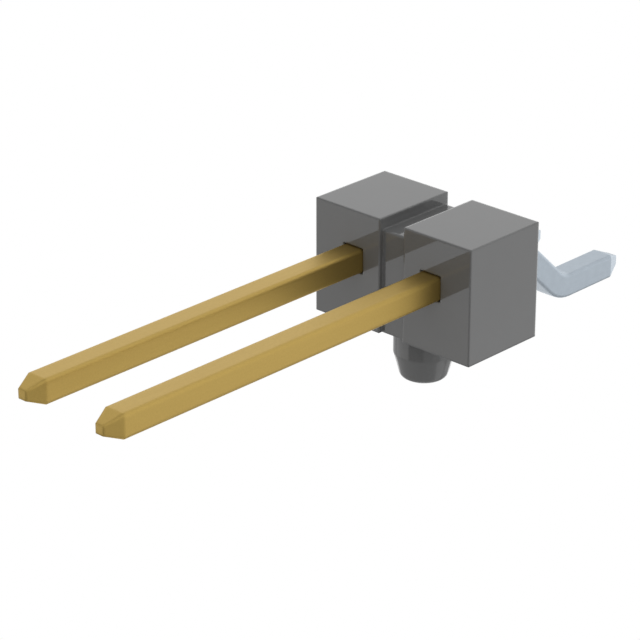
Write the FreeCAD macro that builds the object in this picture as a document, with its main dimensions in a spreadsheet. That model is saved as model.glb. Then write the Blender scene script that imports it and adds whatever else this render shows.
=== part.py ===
import FreeCAD, Part
import math
import os
import Sketcher

# A two-position horizontal pin header for surface mounting, on a 2.54 mm grid.
# X runs along the row. The mating posts point to -Y and the solder tails to +Y.
# The origin is on the locating peg's axis, in the plane of the board that the solder feet stand on.
# Lengths are millimetres and angles are degrees.

DRIVING_SIZES = {
    # Row
    "pitch": 2.54,
    # Moulded housing: two square blocks and the lower web that joins them
    "housing_depth": 2.54,
    "housing_height": 3.05,
    "housing_edge_radius": 0.02,
    "notch_width": 0.78,
    "web_drop": 0.31,
    "web_front_setback": 0.12,
    "web_rear_setback": 0.08,
    "web_edge_radius": 0.03,
    # Passages for the posts, which grip the wire between two relieved mouths
    "mouth_side_gap": 0.01,
    "mouth_top_gap": 0.025,
    "mouth_depth": 0.30,
    # Locating peg under the housing
    "peg_diameter": 1.56,
    "peg_straight_length": 0.76,
    "peg_length": 1.455,
    "peg_end_diameter": 1.18,
    "peg_end_radius": 0.175,
    # Square contact wire
    "wire_width": 0.635,
    "wire_edge_radius": 0.085,
    "post_height": 1.765,
    "post_length": 10.80,
    # Tapered ends of the wire
    "tip_length": 0.46,
    "tip_width": 0.25,
    "tip_edge_radius": 0.015,
    # Solder tail, formed down to the board behind the housing
    "foot_standoff": 0.03,
    "exit_length": 0.33,
    "bend_radius": 0.52,
    "leg_angle": 43.2,
    "tail_reach": 4.69,
}

# Sizes that follow from the driving ones
ROW_LENGTH = "2 * Sizes.pitch"
HALF_DEPTH = "Sizes.housing_depth / 2"
HOUSING_BOTTOM = "Sizes.foot_standoff"
HOUSING_TOP = "Sizes.foot_standoff + Sizes.housing_height"
WEB_TOP = f"{HOUSING_TOP} - Sizes.web_drop"
POST_AXIS = "Sizes.foot_standoff + Sizes.post_height"
POST_TIP = f"-({HALF_DEPTH} + Sizes.post_length)"
POST_TAPER_START = f"{POST_TIP} + Sizes.tip_length"
FOOT_AXIS = "Sizes.wire_width / 2"
FOOT_TIP = f"{HALF_DEPTH} + Sizes.tail_reach"
FOOT_TAPER_START = f"{FOOT_TIP} - Sizes.tip_length"
SHOULDER_START = f"{HALF_DEPTH} + Sizes.exit_length"
BEND_CENTRE_RADIUS = "Sizes.bend_radius + Sizes.wire_width / 2"
MOUTH_WIDTH = "Sizes.wire_width + 2 * Sizes.mouth_side_gap"
MOUTH_HEIGHT = "Sizes.wire_width + 2 * Sizes.mouth_top_gap"

# Each contact stands half a pitch to this side of the peg
CONTACT_SIDES = {"left_contact": -1, "right_contact": 1}

# How a sketch numbers the ends of a line or arc, its own origin and its upright axis
START_ID, END_ID = 1, 2
ORIGIN_IDS = (-1, 1)
UP_AXIS_ID = -2

UP = FreeCAD.Vector(0, 0, 1)
TOUCH = 1e-5
VOLUME_ERROR = 1e-6


def make_sizes(doc):
    sheet = doc.addObject("Spreadsheet::Sheet", "Sizes")
    for row, (alias, number) in enumerate(DRIVING_SIZES.items(), start=1):
        sheet.set(f"A{row}", alias.replace("_", " "))
        sheet.set(f"B{row}", str(number))
        sheet.setAlias(f"B{row}", alias)
    doc.recompute()


def value(doc, expression):
    """What an expression of the sheet's sizes gives."""
    return float(doc.Sizes.evalExpression(expression.replace("Sizes.", "")))


def new_body(doc, label):
    body = doc.addObject("PartDesign::Body", label)
    body.Label = label
    return body


def origin_plane(body, role):
    return next(item for item in body.Origin.OriginFeatures if item.Role == role)


def new_sketch(body, name, plane, offset="0"):
    """A sketch on one of the body's origin planes, moved along that plane's normal."""
    sketch = body.newObject("Sketcher::SketchObject", name)
    sketch.AttachmentSupport = [(origin_plane(body, plane), "")]
    sketch.MapMode = "FlatFace"
    sketch.setExpression("AttachmentOffset.Base.z", offset)
    return sketch


def bind(sketch, name, expression, kind, *references):
    """Adds a named dimension to a sketch and ties it to the sheet."""
    index = sketch.addConstraint(Sketcher.Constraint(kind, *references, value(sketch.Document, expression)))
    sketch.renameConstraint(index, name)
    sketch.setExpression(f"Constraints.{name}", expression)


def closed_lines(sketch, corners):
    """Straight lines through the corners, given as expressions, joined end to end."""
    doc = sketch.Document
    points = [FreeCAD.Vector(value(doc, across), value(doc, up), 0) for across, up in corners]
    lines = [sketch.addGeometry(Part.LineSegment(*pair)) for pair in zip(points, points[1:] + points[:1])]
    for line, following in zip(lines, lines[1:] + lines[:1]):
        sketch.addConstraint(Sketcher.Constraint("Coincident", line, END_ID, following, START_ID))
    return lines


def rectangle(sketch, name, left, right, bottom, top):
    """An upright rectangle whose sides are dimensioned from the sketch's origin."""
    corners = [(left, bottom), (right, bottom), (right, top), (left, top)]
    low_side, right_side, high_side, left_side = closed_lines(sketch, corners)
    for line in (low_side, high_side):
        sketch.addConstraint(Sketcher.Constraint("Horizontal", line))
    for line in (right_side, left_side):
        sketch.addConstraint(Sketcher.Constraint("Vertical", line))
    bind(sketch, f"{name}_left", left, "DistanceX", *ORIGIN_IDS, left_side, START_ID)
    bind(sketch, f"{name}_right", right, "DistanceX", *ORIGIN_IDS, right_side, START_ID)
    bind(sketch, f"{name}_bottom", bottom, "DistanceY", *ORIGIN_IDS, low_side, START_ID)
    bind(sketch, f"{name}_top", top, "DistanceY", *ORIGIN_IDS, high_side, START_ID)


def passage_openings(sketch, width, height):
    """One opening for each post, centred on the post's axis, in a sketch that looks along the posts."""
    half_width = f"({width}) / 2"
    half_height = f"({height}) / 2"
    for name, side in CONTACT_SIDES.items():
        centre = f"{side} * Sizes.pitch / 2"
        rectangle(sketch, name, f"{centre} - {half_width}", f"{centre} + {half_width}",
                  f"{POST_AXIS} - {half_height}", f"{POST_AXIS} + {half_height}")


def rounded_square(sketch, width, corner_radius, centre_height):
    """A square section with rounded corners, centred across the sketch at a height."""
    doc = sketch.Document
    half = value(doc, width) / 2
    corner = value(doc, corner_radius)
    centre = FreeCAD.Vector(0, value(doc, centre_height), 0)
    straight = half - corner
    sides = []
    corners = []
    for quarter in range(4):
        turn = FreeCAD.Rotation(UP, 90 * quarter)
        side_start = centre + turn.multVec(FreeCAD.Vector(half, -straight, 0))
        side_end = centre + turn.multVec(FreeCAD.Vector(half, straight, 0))
        circle = Part.Circle(centre + turn.multVec(FreeCAD.Vector(straight, straight, 0)), UP, corner)
        arc_start = quarter * math.pi / 2
        sides.append(sketch.addGeometry(Part.LineSegment(side_start, side_end)))
        corners.append(sketch.addGeometry(Part.ArcOfCircle(circle, arc_start, arc_start + math.pi / 2)))
    for side, arc, following in zip(sides, corners, sides[1:] + sides[:1]):
        sketch.addConstraint(Sketcher.Constraint("Tangent", side, END_ID, arc, START_ID))
        sketch.addConstraint(Sketcher.Constraint("Tangent", arc, END_ID, following, START_ID))
    for arc in corners[1:]:
        sketch.addConstraint(Sketcher.Constraint("Equal", corners[0], arc))
    right, top, left, bottom = sides
    for side in (right, left):
        sketch.addConstraint(Sketcher.Constraint("Vertical", side))
    for side in (top, bottom):
        sketch.addConstraint(Sketcher.Constraint("Horizontal", side))
    bind(sketch, "corner_radius", corner_radius, "Radius", corners[0])
    bind(sketch, "left", f"-({width}) / 2", "DistanceX", *ORIGIN_IDS, left, START_ID)
    bind(sketch, "right", f"({width}) / 2", "DistanceX", *ORIGIN_IDS, right, START_ID)
    bind(sketch, "top", f"{centre_height} + ({width}) / 2", "DistanceY", *ORIGIN_IDS, top, START_ID)
    bind(sketch, "bottom", f"{centre_height} - ({width}) / 2", "DistanceY", *ORIGIN_IDS, bottom, START_ID)


def wire_path(sketch):
    """The wire's centre line, seen from +X: through the housing, down the leg and along the foot."""
    doc = sketch.Document
    angle = math.radians(value(doc, "Sizes.leg_angle"))
    bend = value(doc, BEND_CENTRE_RADIUS)
    outward = FreeCAD.Vector(bend * math.sin(angle), bend * math.cos(angle), 0)
    post_start = FreeCAD.Vector(value(doc, POST_TAPER_START), value(doc, POST_AXIS), 0)
    post_end = FreeCAD.Vector(value(doc, SHOULDER_START), post_start.y, 0)
    shoulder_centre = post_end - FreeCAD.Vector(0, bend, 0)
    leg_start = shoulder_centre + outward
    foot_end = FreeCAD.Vector(value(doc, FOOT_TAPER_START), value(doc, FOOT_AXIS), 0)
    leg_drop = leg_start.y - (foot_end.y + bend - outward.y)
    leg_end = leg_start + FreeCAD.Vector(leg_drop / math.tan(angle), -leg_drop, 0)
    heel_centre = leg_end + outward
    foot_start = heel_centre - FreeCAD.Vector(0, bend, 0)
    shoulder_circle = Part.Circle(shoulder_centre, UP, bend)
    heel_circle = Part.Circle(heel_centre, UP, bend)

    post = sketch.addGeometry(Part.LineSegment(post_start, post_end))
    shoulder = sketch.addGeometry(Part.ArcOfCircle(shoulder_circle, math.pi / 2 - angle, math.pi / 2))
    leg = sketch.addGeometry(Part.LineSegment(leg_start, leg_end))
    heel = sketch.addGeometry(Part.ArcOfCircle(heel_circle, 1.5 * math.pi - angle, 1.5 * math.pi))
    foot = sketch.addGeometry(Part.LineSegment(foot_start, foot_end))

    sketch.addConstraint(Sketcher.Constraint("Horizontal", post))
    sketch.addConstraint(Sketcher.Constraint("Horizontal", foot))
    sketch.addConstraint(Sketcher.Constraint("Tangent", post, END_ID, shoulder, END_ID))
    sketch.addConstraint(Sketcher.Constraint("Tangent", leg, START_ID, shoulder, START_ID))
    sketch.addConstraint(Sketcher.Constraint("Tangent", leg, END_ID, heel, START_ID))
    sketch.addConstraint(Sketcher.Constraint("Tangent", foot, START_ID, heel, END_ID))
    sketch.addConstraint(Sketcher.Constraint("Equal", shoulder, heel))
    bind(sketch, "bend_radius", BEND_CENTRE_RADIUS, "Radius", shoulder)
    bind(sketch, "post_start", POST_TAPER_START, "DistanceX", *ORIGIN_IDS, post, START_ID)
    bind(sketch, "post_end", SHOULDER_START, "DistanceX", *ORIGIN_IDS, post, END_ID)
    bind(sketch, "post_axis", POST_AXIS, "DistanceY", *ORIGIN_IDS, post, START_ID)
    bind(sketch, "foot_end", FOOT_TAPER_START, "DistanceX", *ORIGIN_IDS, foot, END_ID)
    bind(sketch, "foot_axis", FOOT_AXIS, "DistanceY", *ORIGIN_IDS, foot, END_ID)
    angle_index = sketch.addConstraint(Sketcher.Constraint("Angle", leg, -angle))
    sketch.renameConstraint(angle_index, "leg_angle")
    sketch.setExpression("Constraints.leg_angle", "-1deg * Sizes.leg_angle")


def pocket_through(body, sketch, name):
    pocket = body.newObject("PartDesign::Pocket", name)
    pocket.Profile = sketch
    pocket.Type = "ThroughAll"
    pocket.SideType = "Symmetric"
    body.Document.recompute()
    return pocket


def fillet(body, name, radius, wanted):
    """Rounds the edges of the body so far whose bounding boxes are wanted."""
    base = body.Tip
    names = [f"Edge{index}" for index, edge in enumerate(base.Shape.Edges, start=1) if wanted(edge.BoundBox)]
    feature = body.newObject("PartDesign::Fillet", name)
    feature.Base = (base, names)
    feature.setExpression("Radius", radius)
    body.Document.recompute()
    return feature


def near(first, second):
    return abs(first - second) < TOUCH


def require_cut(feature, expected):
    """A pocket that points away from the solid cuts nothing, so what it takes out is compared."""
    removed = feature.BaseFeature.Shape.Volume - feature.Shape.Volume
    if abs(removed - expected) > VOLUME_ERROR:
        raise RuntimeError(f"{feature.Label} removed {removed} mm3, not {expected} mm3")


def require_added(feature, expected):
    before = feature.BaseFeature.Shape.Volume if feature.BaseFeature else 0.0
    added = feature.Shape.Volume - before
    if abs(added - expected) > VOLUME_ERROR:
        raise RuntimeError(f"{feature.Label} added {added} mm3, not {expected} mm3")


def add_blocks(body):
    """The housing's outline, with the notch above, before and behind the web left out."""
    doc = body.Document
    plan = new_sketch(body, "row_plan", "XY_Plane", HOUSING_BOTTOM)
    rectangle(plan, "row", f"-({ROW_LENGTH}) / 2", f"({ROW_LENGTH}) / 2", f"-{HALF_DEPTH}", HALF_DEPTH)
    row = body.newObject("PartDesign::Pad", "row")
    row.Profile = plan
    row.setExpression("Length", "Sizes.housing_height")

    above = new_sketch(body, "notch_above_section", "XZ_Plane")
    rectangle(above, "notch", "-Sizes.notch_width / 2", "Sizes.notch_width / 2", WEB_TOP, HOUSING_TOP)
    notch_above = pocket_through(body, above, "notch_above_web")
    require_cut(notch_above, value(doc, "notch_width * web_drop * housing_depth"))

    ends = new_sketch(body, "notch_ends_section", "XY_Plane")
    rectangle(ends, "front", "-Sizes.notch_width / 2", "Sizes.notch_width / 2",
              f"-{HALF_DEPTH}", f"-{HALF_DEPTH} + Sizes.web_front_setback")
    rectangle(ends, "rear", "-Sizes.notch_width / 2", "Sizes.notch_width / 2",
              f"{HALF_DEPTH} - Sizes.web_rear_setback", HALF_DEPTH)
    notch_ends = pocket_through(body, ends, "notch_ends_of_web")
    web_height = value(doc, "housing_height - web_drop")
    require_cut(notch_ends, web_height * value(doc, "notch_width * (web_front_setback + web_rear_setback)"))


def round_edges(body):
    """Rounds the web's two upper edges, then the blocks' upright and top edges."""
    doc = body.Document
    half_depth = value(doc, HALF_DEPTH)
    web_top = value(doc, WEB_TOP)
    top = value(doc, HOUSING_TOP)
    web_faces = (value(doc, "web_front_setback") - half_depth, half_depth - value(doc, "web_rear_setback"))

    def is_web_edge(box):
        level = near(box.ZMin, web_top) and near(box.ZMax, web_top)
        return level and near(box.YMin, box.YMax) and any(near(box.YMin, face) for face in web_faces)

    def is_block_edge(box):
        level_top = near(box.ZMin, top) and near(box.ZMax, top)
        upright = box.ZLength > TOUCH and near(box.ZMax, top)
        return level_top or upright

    fillet(body, "web_edges", "Sizes.web_edge_radius", is_web_edge)
    fillet(body, "block_edges", "Sizes.housing_edge_radius", is_block_edge)


def cut_passages(body):
    """Square passages that grip the wire, with a wider mouth at each end."""
    doc = body.Document
    section = new_sketch(body, "passage_section", "XZ_Plane")
    passage_openings(section, "Sizes.wire_width", "Sizes.wire_width")
    passages = pocket_through(body, section, "passages")
    posts = len(CONTACT_SIDES)
    require_cut(passages, posts * value(doc, "wire_width ^ 2 * housing_depth"))

    mouth_section = new_sketch(body, "mouth_section", "XZ_Plane", HALF_DEPTH)
    passage_openings(mouth_section, MOUTH_WIDTH, MOUTH_HEIGHT)
    front_mouths = body.newObject("PartDesign::Pocket", "front_mouths")
    front_mouths.Profile = mouth_section
    front_mouths.setExpression("Length", "Sizes.mouth_depth")
    doc.recompute()
    mouth_ring = value(doc, f"(({MOUTH_WIDTH}) * ({MOUTH_HEIGHT}) - wire_width ^ 2) * mouth_depth")
    require_cut(front_mouths, posts * mouth_ring)

    rear_mouths = body.newObject("PartDesign::Mirrored", "rear_mouths")
    rear_mouths.Originals = [front_mouths]
    rear_mouths.MirrorPlane = (origin_plane(body, "XZ_Plane"), [""])
    body.Tip = rear_mouths
    doc.recompute()
    require_cut(rear_mouths, posts * mouth_ring)


def add_peg(body):
    """The round locating peg: a straight shank, a tapered lead-in and a rounded end."""
    doc = body.Document
    profile = new_sketch(body, "peg_profile", "XZ_Plane")
    straight_end = f"{HOUSING_BOTTOM} - Sizes.peg_straight_length"
    tip = f"{HOUSING_BOTTOM} - Sizes.peg_length"
    shank_radius = "Sizes.peg_diameter / 2"
    end_radius = "Sizes.peg_end_diameter / 2"
    axis, end, taper, shank, root = closed_lines(profile, [
        ("0", HOUSING_BOTTOM), ("0", tip), (end_radius, tip), (shank_radius, straight_end),
        (shank_radius, HOUSING_BOTTOM),
    ])
    profile.addConstraint(Sketcher.Constraint("PointOnObject", axis, START_ID, UP_AXIS_ID))
    profile.addConstraint(Sketcher.Constraint("Vertical", axis))
    profile.addConstraint(Sketcher.Constraint("Horizontal", end))
    profile.addConstraint(Sketcher.Constraint("Vertical", shank))
    profile.addConstraint(Sketcher.Constraint("Horizontal", root))
    bind(profile, "root_height", HOUSING_BOTTOM, "DistanceY", *ORIGIN_IDS, root, START_ID)
    bind(profile, "tip_height", tip, "DistanceY", *ORIGIN_IDS, end, START_ID)
    bind(profile, "end_radius", end_radius, "DistanceX", *ORIGIN_IDS, taper, START_ID)
    bind(profile, "shank_radius", shank_radius, "DistanceX", *ORIGIN_IDS, shank, START_ID)
    bind(profile, "straight_end", straight_end, "DistanceY", *ORIGIN_IDS, shank, START_ID)
    peg = body.newObject("PartDesign::Revolution", "peg")
    peg.Profile = profile
    peg.ReferenceAxis = (profile, ["V_Axis"])
    peg.Angle = 360
    doc.recompute()

    wide, narrow = value(doc, shank_radius), value(doc, end_radius)
    cone_length = value(doc, "peg_length - peg_straight_length")
    shank_volume = math.pi * wide ** 2 * value(doc, "peg_straight_length")
    cone_volume = math.pi * cone_length * (wide ** 2 + wide * narrow + narrow ** 2) / 3
    require_added(peg, shank_volume + cone_volume)

    tip_height = value(doc, tip)
    fillet(body, "peg_end", "Sizes.peg_end_radius",
           lambda box: near(box.ZMin, tip_height) and near(box.ZMax, tip_height))


def make_housing(doc):
    body = new_body(doc, "housing")
    body.setExpression("Placement.Base.x", "0")
    add_blocks(body)
    round_edges(body)
    cut_passages(body)
    add_peg(body)
    return body


def add_taper(body, name, taper_start, tip, axis_height):
    """A tapered end, from the wire's full section to the small flat at its tip."""
    wire = new_sketch(body, f"{name}_start_section", "XZ_Plane", f"-({taper_start})")
    rounded_square(wire, "Sizes.wire_width", "Sizes.wire_edge_radius", axis_height)
    flat = new_sketch(body, f"{name}_flat_section", "XZ_Plane", f"-({tip})")
    rounded_square(flat, "Sizes.tip_width", "Sizes.tip_edge_radius", axis_height)
    taper = body.newObject("PartDesign::AdditiveLoft", name)
    taper.Profile = wire
    taper.Sections = [flat]
    taper.Ruled = True


def make_contact(doc, label, side):
    body = new_body(doc, label)
    body.setExpression("Placement.Base.x", f"{side} * Sizes.pitch / 2")
    path = new_sketch(body, "wire_path", "YZ_Plane")
    wire_path(path)
    section = new_sketch(body, "wire_section", "XZ_Plane", f"-({POST_TAPER_START})")
    rounded_square(section, "Sizes.wire_width", "Sizes.wire_edge_radius", POST_AXIS)
    wire = body.newObject("PartDesign::AdditivePipe", "wire")
    wire.Profile = section
    wire.Spine = path
    doc.recompute()
    section_area = Part.Face(Part.Wire(section.Shape.Edges)).Area
    require_added(wire, section_area * path.Shape.Length)

    add_taper(body, "post_tip", POST_TAPER_START, POST_TIP, POST_AXIS)
    add_taper(body, "foot_tip", FOOT_TAPER_START, FOOT_TIP, FOOT_AXIS)
    return body


def check(doc, bodies):
    for item in doc.Objects:
        if "Invalid" in item.State or "Error" in item.State:
            raise RuntimeError(f"{item.Label} did not build: {item.State}")
        if item.TypeId == "Sketcher::SketchObject" and not item.FullyConstrained:
            raise RuntimeError(f"{item.Label} is not fully constrained")
    for body in bodies:
        shape = body.Shape
        if shape.isNull() or not shape.isValid() or len(shape.Solids) != 1:
            raise RuntimeError(f"{body.Label} is not one sound solid")


def main():
    doc = FreeCAD.newDocument("pin_header")
    make_sizes(doc)
    bodies = [make_housing(doc)]
    bodies += [make_contact(doc, label, side) for label, side in CONTACT_SIDES.items()]
    doc.recompute()
    check(doc, bodies)
    os.makedirs("parts", exist_ok=True)
    for body in bodies:
        body.Shape.exportStep(f"parts/{body.Label}.step")
        print(f"{body.Label}: {body.Shape.Volume:.4f} mm3, {len(body.Shape.Faces)} faces")


main()
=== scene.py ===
import math
import bpy
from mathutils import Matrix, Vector


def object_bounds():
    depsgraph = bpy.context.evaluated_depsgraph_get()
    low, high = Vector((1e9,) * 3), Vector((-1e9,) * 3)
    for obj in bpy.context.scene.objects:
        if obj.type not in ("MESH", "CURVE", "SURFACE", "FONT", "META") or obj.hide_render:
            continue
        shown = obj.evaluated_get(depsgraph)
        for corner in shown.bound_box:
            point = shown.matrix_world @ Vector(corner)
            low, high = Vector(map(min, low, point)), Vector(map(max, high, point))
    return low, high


# Row frame: +X along the row, the gold posts point to -Y, +Z is up. Blender's unit is the metre.
MM = 0.001

# Camera: its place in millimetres, the direction it looks from, and its lens on a 36 mm sensor
CAMERA_PLACE = (41.5925, -47.6865, 28.2875)
CAMERA_AZIMUTH = math.radians(43.4648)
CAMERA_ELEVATION = math.radians(24.0309)
CAMERA_LENS = 155.57
SENSOR_WIDTH = 36.0
CLIP_RANGE = (1 * MM, 10.0)

# Studio: soft panels all round light the object, and the camera sees plain white behind it.
# All directions are in degrees, and azimuths run from -Y towards +X.
WHITE = (1, 1, 1, 1)
BACKGROUND_STRENGTH = 1.0
HALF_TURN = 180.0
BAND_BLEND = 3.0
BROAD_BLEND = 6.0
SHARP_BLEND = 0.8

# A band is its lowest and highest elevation, how far its panels blend, and its panels.
# A panel is its first and last azimuth and its brightness, and a band's panels go once round.
# The outer bands reach past straight down and straight up, so that their blends stay out of sight.
LIGHT_BANDS = [
    (-100, -30, BROAD_BLEND, [
        (-109, 10, 0.72), (10, 106, 0.68), (106, 140, 1.25), (140, 195, 0.60), (195, 251, 1.90),
    ]),
    (-30, 0, SHARP_BLEND, [
        (-125, -80, 0.90), (-80, -18.5, 1.37), (-18.5, 40, 0.38), (40, 75, 0.77),
        (75, 105, 0.98), (105, 146, 1.47), (146, 176, 1.95), (176, 207, 2.20), (207, 235, 0.90),
    ]),
    (0, 18, BROAD_BLEND, [
        (-110, -80, 1.30), (-80, 40, 0.60), (40, 100, 0.80), (100, 160, 1.40), (160, 250, 2.10),
    ]),
    (18, 62, BROAD_BLEND, [
        (-110, -80, 1.45), (-80, -18.5, 0.80), (-18.5, 160, 1.45), (160, 250, 1.43),
    ]),
    (62, 100, BROAD_BLEND, [(-46.5, 133.5, 0.60), (133.5, 313.5, 0.80)]),
]

# Floor: a wide white sheet just under the peg
FLOOR_HALF_WIDTH = 0.5
FLOOR_GAP = 0.002 * MM

# Textures: a grain is blotches to the millimetre along each axis, and a tone a factor on the colour
NOISE_DETAIL = 2.0
NOISE_RANGE = (0.3, 0.7)
BEVEL_SAMPLES = 6

# Moulded plastic of the housing, with faint flow clouds and a mould texture
PLASTIC = (0.117, 0.118, 0.1185)
PLASTIC_IOR = 1.52
PLASTIC_EDGE_RADIUS = 0.075 * MM
CLOUD_GRAIN = (1.2, 1.2, 1.2)
CLOUD_TONE = (0.985, 1.015)
MOULD_GRAIN = (9.0, 9.0, 9.0)
MOULD_DEPTH = 0.00025 * MM
MOULD_ROUGHNESS = (0.022, 0.045)

# Plated wire: gold in front and tin behind, changing in Y inside the housing
GOLD = (0.455, 0.317, 0.0910)
TIN = (0.376, 0.424, 0.472)
PLATING_CHANGE = (-0.3 * MM, 0.3 * MM)
GOLD_EDGE_RADIUS = 0.10 * MM
TIN_EDGE_RADIUS = 0.03 * MM

# Its drawing lines, long in Y, the gold's fine speckle and the tin's larger frosting
DRAWING_GRAIN = (16.0, 0.7, 16.0)
DRAWING_DEPTH = 0.0002 * MM
DRAWING_ROUGHNESS = (0.455, 0.485)
SPECKLE_GRAIN = (22.0, 22.0, 22.0)
SPECKLE_TONE = (0.97, 1.03)
FROST_GRAIN = (5.0, 5.0, 5.0)
FROST_TONE = (0.975, 1.025)

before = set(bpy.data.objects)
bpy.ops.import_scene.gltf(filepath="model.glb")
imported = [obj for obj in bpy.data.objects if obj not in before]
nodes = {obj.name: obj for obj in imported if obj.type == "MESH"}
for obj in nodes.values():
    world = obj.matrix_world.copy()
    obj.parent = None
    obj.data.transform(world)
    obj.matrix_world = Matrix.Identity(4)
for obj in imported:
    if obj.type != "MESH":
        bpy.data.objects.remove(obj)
cad_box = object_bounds()


def make_camera():
    back = Vector((
        math.sin(CAMERA_AZIMUTH) * math.cos(CAMERA_ELEVATION),
        -math.cos(CAMERA_AZIMUTH) * math.cos(CAMERA_ELEVATION),
        math.sin(CAMERA_ELEVATION),
    ))
    data = bpy.data.cameras.new("camera")
    data.lens = CAMERA_LENS
    data.sensor_width = SENSOR_WIDTH
    data.clip_start, data.clip_end = CLIP_RANGE
    camera = bpy.data.objects.new("camera", data)
    camera.location = Vector(CAMERA_PLACE) * MM
    camera.rotation_mode = "QUATERNION"
    camera.rotation_quaternion = (-back).to_track_quat("-Z", "Y")
    bpy.context.scene.collection.objects.link(camera)
    bpy.context.scene.camera = camera


class NodeTree:
    """Short calls that add shader nodes to a tree."""

    def __init__(self, owner):
        owner.use_nodes = True
        self.tree = owner.node_tree
        self.tree.nodes.clear()

    def add(self, kind, settings=None, inputs=None):
        """A node with its settings, and with its inputs set or linked by name or number."""
        node = self.tree.nodes.new(kind)
        for key, value in (settings or {}).items():
            setattr(node, key, value)
        for key, value in (inputs or {}).items():
            self.put(node.inputs[key], value)
        return node

    def put(self, socket, value):
        """Links the value where it is another node's output, and sets it where it is a plain value."""
        if isinstance(value, bpy.types.NodeSocket):
            self.tree.links.new(value, socket)
        else:
            socket.default_value = value

    def math(self, operation, *values):
        node = self.add("ShaderNodeMath", {"operation": operation}, dict(enumerate(values)))
        return node.outputs["Value"]

    def coordinates(self, kind):
        """The x, y and z of one kind of texture coordinates."""
        coords = self.add("ShaderNodeTexCoord")
        split = self.add("ShaderNodeSeparateXYZ", inputs={"Vector": coords.outputs[kind]})
        return split.outputs

    def smooth_step(self, value, start, end):
        """0 at the start and 1 at the end, smooth between them."""
        node = self.add(
            "ShaderNodeMapRange",
            {"interpolation_type": "SMOOTHSTEP"},
            {"Value": value, "From Min": start, "From Max": end},
        )
        return node.outputs["Result"]

    def within(self, value, low, high, blend):
        """1 where the value is between the two limits and 0 outside, blended across each limit."""
        middle, half_width = (low + high) / 2, (high - low) / 2
        distance = self.math("ABSOLUTE", self.math("SUBTRACT", value, middle))
        return self.smooth_step(distance, half_width + blend, half_width - blend)

    def within_turn(self, azimuth, first, last, blend):
        """The same for an azimuth, whichever way round the circle it is given."""
        middle, half_width = (first + last) / 2, (last - first) / 2
        offset = self.math("WRAP", self.math("SUBTRACT", azimuth, middle), HALF_TURN, -HALF_TURN)
        return self.within(offset, -half_width, half_width, blend)

    def noise(self, grain):
        """Noise fixed to the object, with so many blotches to the millimetre along each axis."""
        coords = self.add("ShaderNodeTexCoord")
        place = self.add(
            "ShaderNodeVectorMath",
            {"operation": "MULTIPLY"},
            {0: coords.outputs["Object"], 1: [count / MM for count in grain]},
        )
        inputs = {"Vector": place.outputs["Vector"], "Scale": 1.0, "Detail": NOISE_DETAIL}
        return self.add("ShaderNodeTexNoise", inputs=inputs).outputs[0]

    def spread(self, noise, low, high):
        """The noise's usual range laid out between two values."""
        usual_low, usual_high = NOISE_RANGE
        node = self.add("ShaderNodeMapRange", inputs={
            "Value": noise,
            "From Min": usual_low,
            "From Max": usual_high,
            "To Min": low,
            "To Max": high,
        })
        return node.outputs["Result"]

    def tone(self, color, factor):
        """The colour made lighter or darker by a factor."""
        node = self.add("ShaderNodeVectorMath", {"operation": "SCALE"}, {0: color, "Scale": factor})
        return node.outputs["Vector"]

    def relief(self, height, depth, edge_radius):
        """The surface's normal with rounded edges and a fine relief."""
        edges = self.add("ShaderNodeBevel", {"samples": BEVEL_SAMPLES}, {"Radius": edge_radius})
        inputs = {"Height": height, "Distance": depth, "Strength": 1.0, "Normal": edges.outputs["Normal"]}
        return self.add("ShaderNodeBump", inputs=inputs).outputs["Normal"]

    def mix_colors(self, factor, first, second):
        """A mix of two colours. The node's colour sockets come after those for numbers and vectors."""
        node = self.add("ShaderNodeMix", {"data_type": "RGBA"}, {0: factor, 6: first, 7: second})
        return node.outputs[2]

    def mix_shaders(self, factor, first, second):
        node = self.add("ShaderNodeMixShader", inputs={0: factor, 1: first, 2: second})
        return node.outputs["Shader"]


def studio_light(n):
    """The brightness of the panel in each direction."""
    x, y, z = n.coordinates("Generated")
    azimuth = n.math("DEGREES", n.math("ARCTAN2", x, n.math("MULTIPLY", y, -1.0)))
    elevation = n.math("DEGREES", n.math("ARCSINE", z))
    light = 0.0
    for lowest, highest, blend, panels in LIGHT_BANDS:
        in_band = n.within(elevation, lowest, highest, BAND_BLEND)
        band_light = 0.0
        for first, last, brightness in panels:
            in_panel = n.within_turn(azimuth, first, last, blend)
            band_light = n.math("MULTIPLY_ADD", in_panel, brightness, band_light)
        light = n.math("MULTIPLY_ADD", in_band, band_light, light)
    return light


def make_world():
    world = bpy.data.worlds.new("studio")
    bpy.context.scene.world = world
    n = NodeTree(world)
    studio = n.add("ShaderNodeBackground", inputs={"Strength": studio_light(n)})
    white = n.add("ShaderNodeBackground", inputs={"Color": WHITE, "Strength": BACKGROUND_STRENGTH})
    path = n.add("ShaderNodeLightPath")
    shown = n.mix_shaders(
        path.outputs["Is Camera Ray"],
        studio.outputs["Background"],
        white.outputs["Background"],
    )
    n.add("ShaderNodeOutputWorld", inputs={"Surface": shown})


def new_material(name, build):
    """A material whose surface is the shader that the build function adds to its tree."""
    material = bpy.data.materials.new(name)
    n = NodeTree(material)
    n.add("ShaderNodeOutputMaterial", inputs={"Surface": build(n)})
    return material


def white_glow(n):
    """White seen from above, clear from below, so that the underside can be looked at."""
    glow = n.add("ShaderNodeEmission", inputs={"Color": WHITE, "Strength": BACKGROUND_STRENGTH})
    clear = n.add("ShaderNodeBsdfTransparent")
    geometry = n.add("ShaderNodeNewGeometry")
    return n.mix_shaders(geometry.outputs["Backfacing"], glow.outputs["Emission"], clear.outputs["BSDF"])


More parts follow.
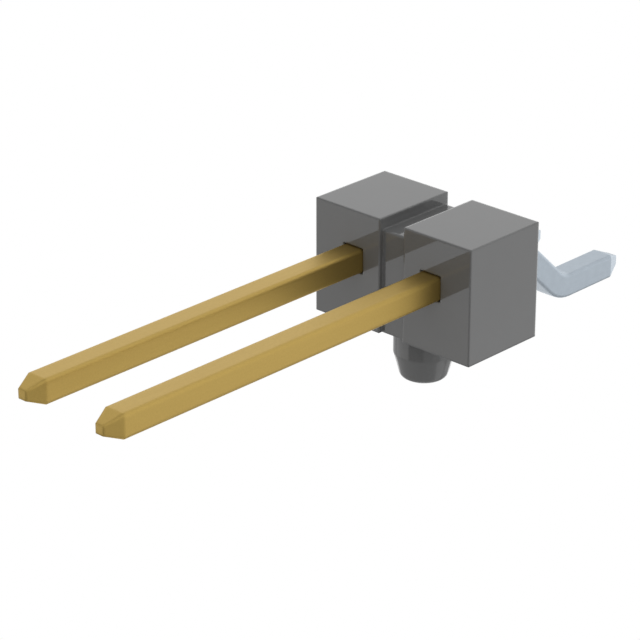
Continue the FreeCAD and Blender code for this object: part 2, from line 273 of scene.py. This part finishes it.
def make_floor():
    """A sheet that the camera sees, and that doesn't light, shade or mirror in the object."""
    side = FLOOR_HALF_WIDTH
    height = cad_box[0].z - FLOOR_GAP
    corners = [(-side, -side, height), (side, -side, height), (side, side, height), (-side, side, height)]
    mesh = bpy.data.meshes.new("floor")
    mesh.from_pydata(corners, [], [(0, 1, 2, 3)])
    mesh.materials.append(new_material("floor_white", white_glow))
    floor = bpy.data.objects.new("floor", mesh)
    bpy.context.scene.collection.objects.link(floor)
    floor.visible_diffuse = False
    floor.visible_glossy = False
    floor.visible_shadow = False


def moulded_plastic(n):
    """Glossy grey plastic: faint clouds in its colour, a mould texture in its gloss, rounded edges."""
    clouds = n.spread(n.noise(CLOUD_GRAIN), *CLOUD_TONE)
    grain = n.noise(MOULD_GRAIN)
    shader = n.add("ShaderNodeBsdfPrincipled", inputs={
        "Base Color": n.tone(PLASTIC, clouds),
        "Roughness": n.spread(grain, *MOULD_ROUGHNESS),
        "IOR": PLASTIC_IOR,
        "Normal": n.relief(grain, MOULD_DEPTH, PLASTIC_EDGE_RADIUS),
    })
    return shader.outputs["BSDF"]


def plated_wire(n):
    """Drawn wire, satin gold in front of the housing and frosted tin behind it."""
    tin = n.smooth_step(n.coordinates("Object")["Y"], *PLATING_CHANGE)
    lines = n.noise(DRAWING_GRAIN)
    speckle = n.spread(n.noise(SPECKLE_GRAIN), *SPECKLE_TONE)
    frost = n.spread(n.noise(FROST_GRAIN), *FROST_TONE)
    edge_radius = n.math("MULTIPLY_ADD", tin, TIN_EDGE_RADIUS - GOLD_EDGE_RADIUS, GOLD_EDGE_RADIUS)
    shader = n.add("ShaderNodeBsdfPrincipled", inputs={
        "Base Color": n.mix_colors(tin, n.tone(GOLD, speckle), n.tone(TIN, frost)),
        "Metallic": 1.0,
        "Roughness": n.spread(lines, *DRAWING_ROUGHNESS),
        "Normal": n.relief(lines, DRAWING_DEPTH, edge_radius),
    })
    return shader.outputs["BSDF"]


def dress(name, material):
    for slot in nodes[name].material_slots:
        slot.material = material


def main():
    view = bpy.context.scene.view_settings
    view.view_transform = "Standard"
    view.look = "None"
    make_camera()
    make_world()
    make_floor()
    dress("housing", new_material("moulded_plastic", moulded_plastic))
    wire = new_material("plated_wire", plated_wire)
    dress("left_contact", wire)
    dress("right_contact", wire)


main()
